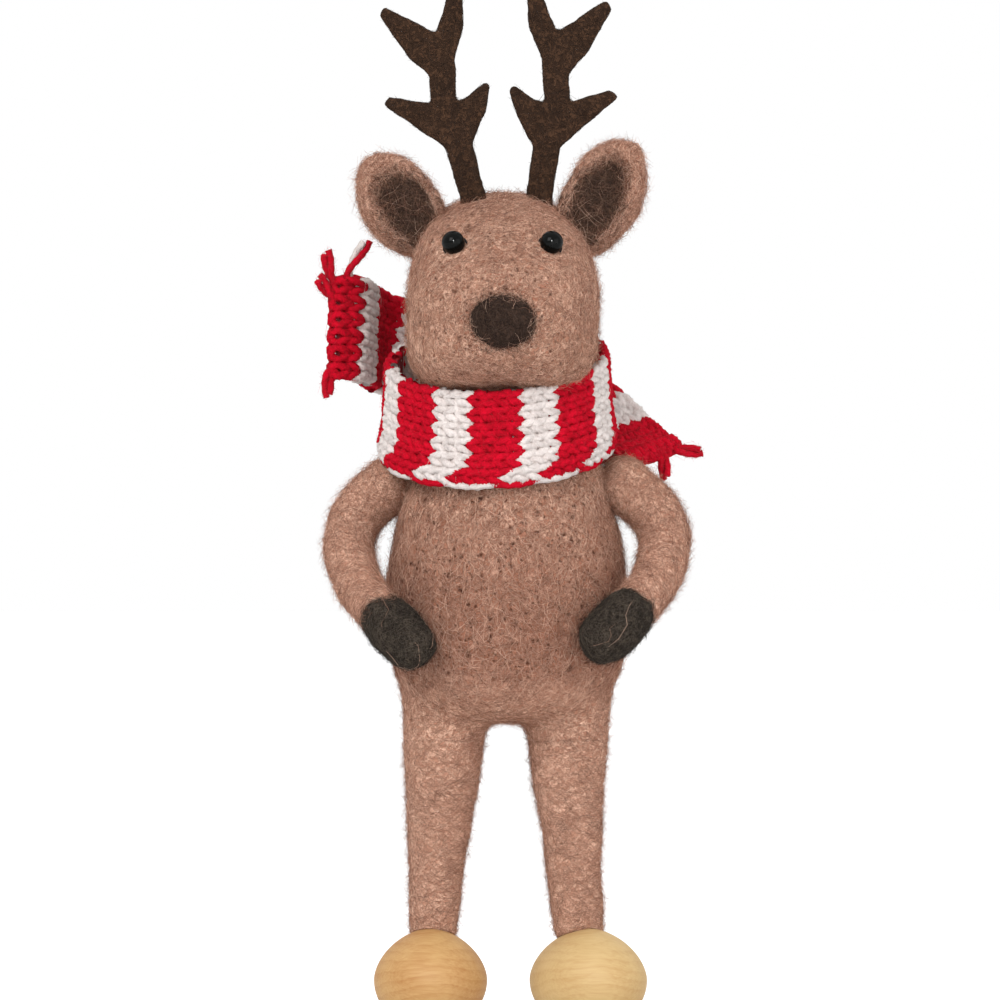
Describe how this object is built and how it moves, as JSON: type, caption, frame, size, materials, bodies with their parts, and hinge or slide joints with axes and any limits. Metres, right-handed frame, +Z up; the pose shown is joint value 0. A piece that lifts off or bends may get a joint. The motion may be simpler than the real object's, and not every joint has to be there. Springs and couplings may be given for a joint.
{
  "type": "felt christmas ornament",
  "caption": "Needle-felted standing reindeer ornament with felt antlers, a knitted striped scarf, wired arms that swing forward and turned wooden feet.",
  "frame": {"origin": "on the ground, under the middle of the figure's box", "axes": "+Z up, the figure faces -Y, and its own left side is +X"},
  "size_m": [0.0692, 0.054, 0.1784],
  "materials": {
    "brown_wool": "matte needle-felted wool",
    "dark_wool": "matte needle-felted wool",
    "lining_wool": "matte needle-felted wool",
    "nose_wool": "matte needle-felted wool",
    "antler_felt": "matte pressed felt sheet",
    "core_wool": "undyed wool stuffing",
    "knit": "knitted yarn in red and white stripes",
    "thread": "cotton thread",
    "bead": "polished",
    "beech": "turned and lightly waxed",
    "wire": "bare wire"
  },
  "bodies": {
    "figure": {"torso_felt": "brown_wool", "torso_core": "core_wool", "head_felt": "brown_wool", "head_core": "core_wool", "spine_wire": "wire", "shoulder_wire": "wire", "leg_left": "brown_wool", "leg_right": "brown_wool", "leg_wire_left": "wire", "leg_wire_right": "wire", "foot_left": "beech", "foot_right": "beech", "ear_left": "brown_wool", "ear_right": "brown_wool", "ear_lining_left": "lining_wool", "ear_lining_right": "lining_wool", "antler_left": "antler_felt", "antler_right": "antler_felt", "eye_left": "bead", "eye_right": "bead", "eye_thread_left": "thread", "eye_thread_right": "thread", "nose": "nose_wool", "scarf": "knit", "fringe_right_1": "knit", "fringe_right_2": "knit", "fringe_right_3": "knit", "fringe_right_4": "knit", "fringe_left_1": "knit", "fringe_left_2": "knit"},
    "left_arm": {"arm_left": "brown_wool", "arm_wire_left": "wire", "hoof_left": "dark_wool"},
    "right_arm": {"arm_right": "brown_wool", "arm_wire_right": "wire", "hoof_right": "dark_wool"}
  },
  "joints": [
    {"name": "left_shoulder", "type": "hinge", "parent": "figure", "child": "left_arm", "pos_m": [0.02019, 0.00098, 0.0912], "axis": [-1, 0, 0], "range_deg": [0, 60]},
    {"name": "right_shoulder", "type": "hinge", "parent": "figure", "child": "right_arm", "pos_m": [-0.02115, 0.00098, 0.0912], "axis": [-1, 0, 0], "range_deg": [0, 60]}
  ]
}
